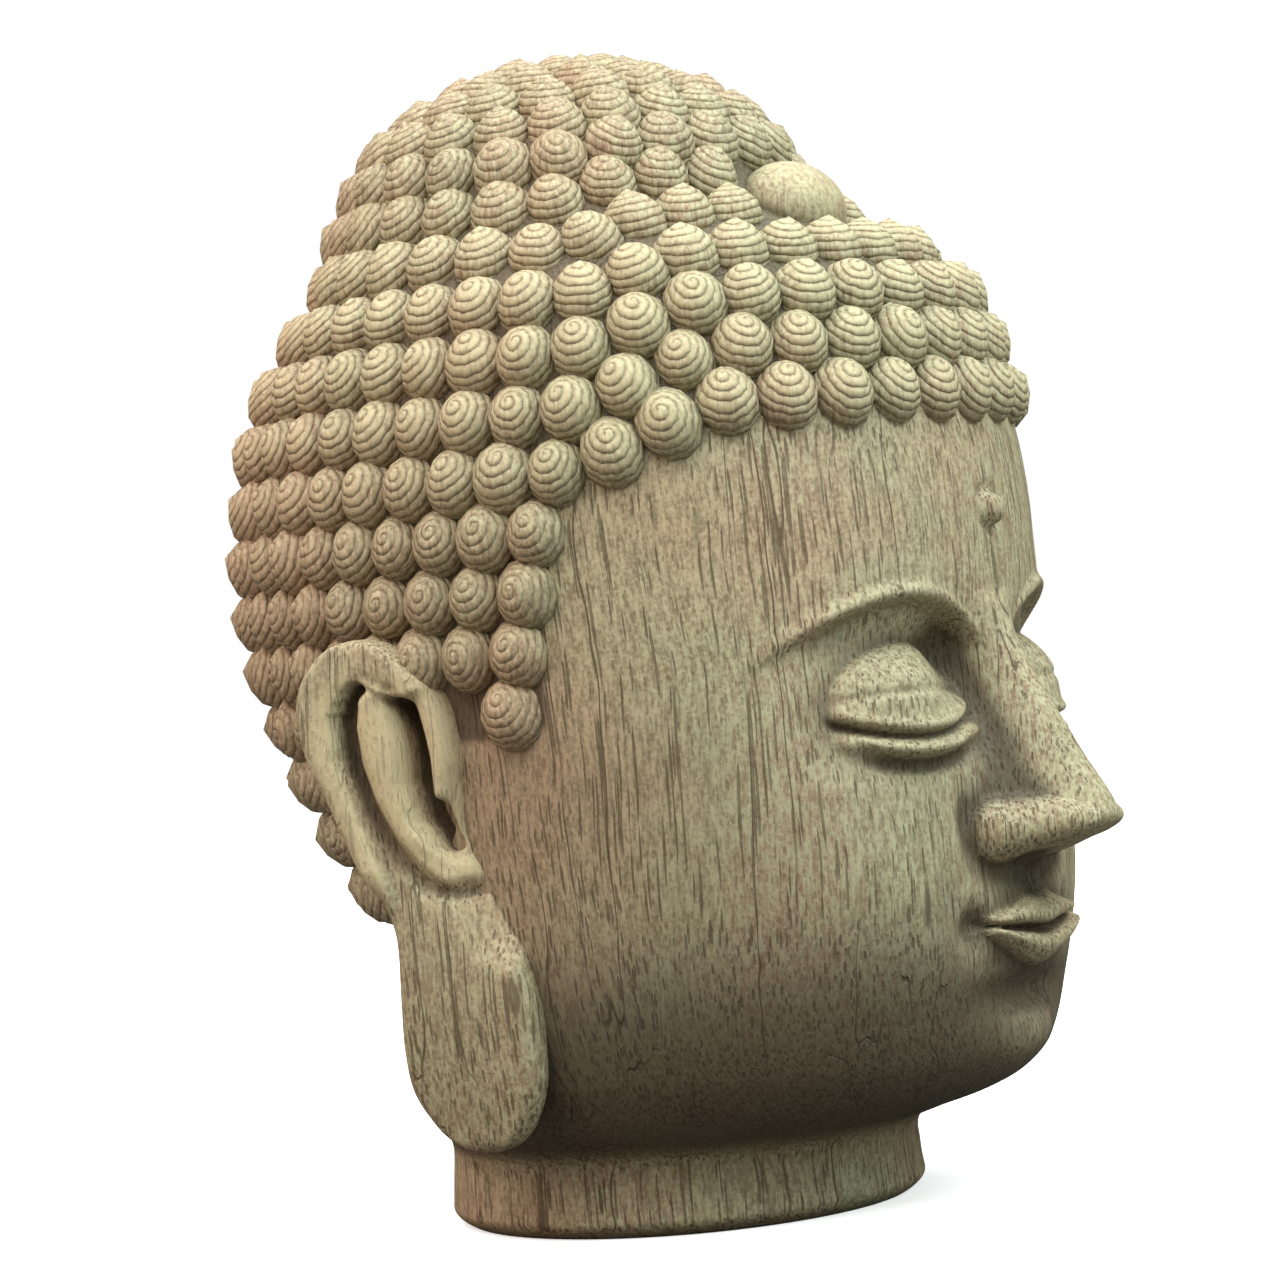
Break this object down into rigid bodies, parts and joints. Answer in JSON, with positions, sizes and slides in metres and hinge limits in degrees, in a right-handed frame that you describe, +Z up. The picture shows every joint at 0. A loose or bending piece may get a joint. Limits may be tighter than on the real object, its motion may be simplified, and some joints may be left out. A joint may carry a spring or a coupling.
{
  "type": "carved buddha head statue",
  "caption": "Carved wooden Buddha head with snail-shell curls, a domed crown with a smooth jewel, long-lobed ears and a neck cut flat to stand on.",
  "frame": {"origin": "centre of the flat underside of the neck", "axes": "+Z up through the crown, the face looks along -Y, +X to the figure's left ear"},
  "size_m": [0.0854, 0.0948, 0.1185],
  "materials": {
    "carved_wood": "oiled open-pored hardwood, satin, carved and hand finished"
  },
  "bodies": {
    "root": {"buddha_head": "carved_wood"}
  },
  "joints": []
}
